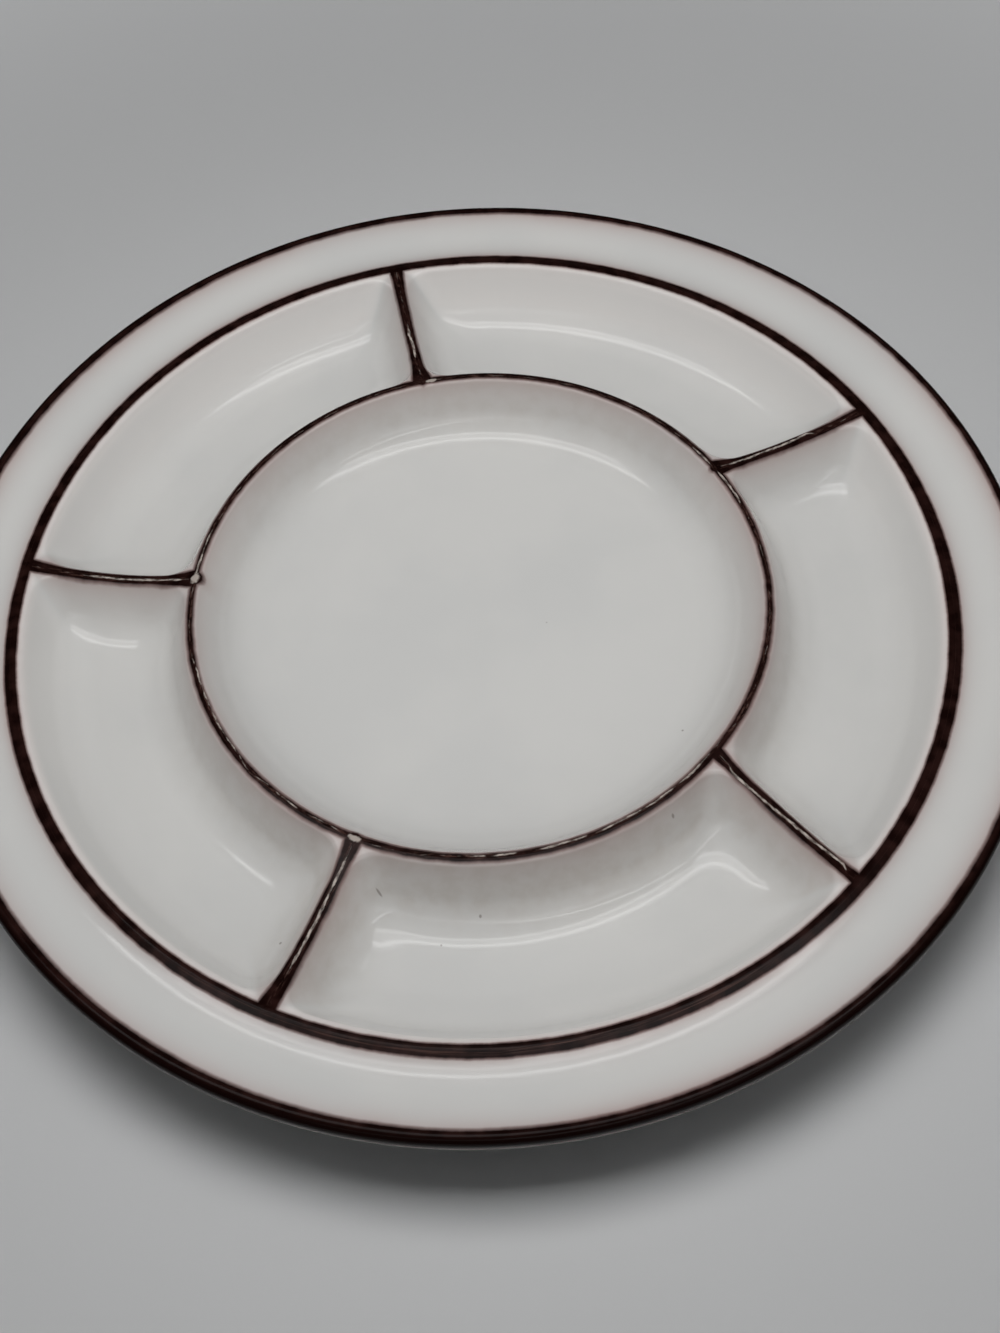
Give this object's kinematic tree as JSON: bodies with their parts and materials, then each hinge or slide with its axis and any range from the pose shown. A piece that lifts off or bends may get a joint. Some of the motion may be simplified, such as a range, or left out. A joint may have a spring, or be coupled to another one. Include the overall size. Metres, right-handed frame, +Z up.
{
  "type": "divided fondue plate",
  "caption": "Round glazed stoneware fondue plate with a centre well, sauce compartments around it, a flange with a brown lip, and a foot ring.",
  "frame": {"origin": "on the table, under the plate's centre", "axes": "+Z up along the plate's axis, +Y along one divider, +X to the right of it"},
  "size_m": [0.2539, 0.254, 0.0257],
  "materials": {
    "stoneware": "bare fired clay",
    "white_glaze": "gloss glaze",
    "brown_glaze": "gloss glaze"
  },
  "bodies": {
    "root": {"stoneware_body": "stoneware", "centre_well_glaze": "white_glaze", "compartment_glaze_1": "white_glaze", "compartment_glaze_2": "white_glaze", "compartment_glaze_3": "white_glaze", "compartment_glaze_4": "white_glaze", "compartment_glaze_5": "white_glaze", "flange_glaze": "white_glaze", "underside_glaze": "white_glaze", "foot_well_glaze": "white_glaze", "ring_band": "brown_glaze", "divider_band_1": "brown_glaze", "divider_band_2": "brown_glaze", "divider_band_3": "brown_glaze", "divider_band_4": "brown_glaze", "divider_band_5": "brown_glaze", "well_band": "brown_glaze", "lip_band": "brown_glaze"}
  },
  "joints": []
}
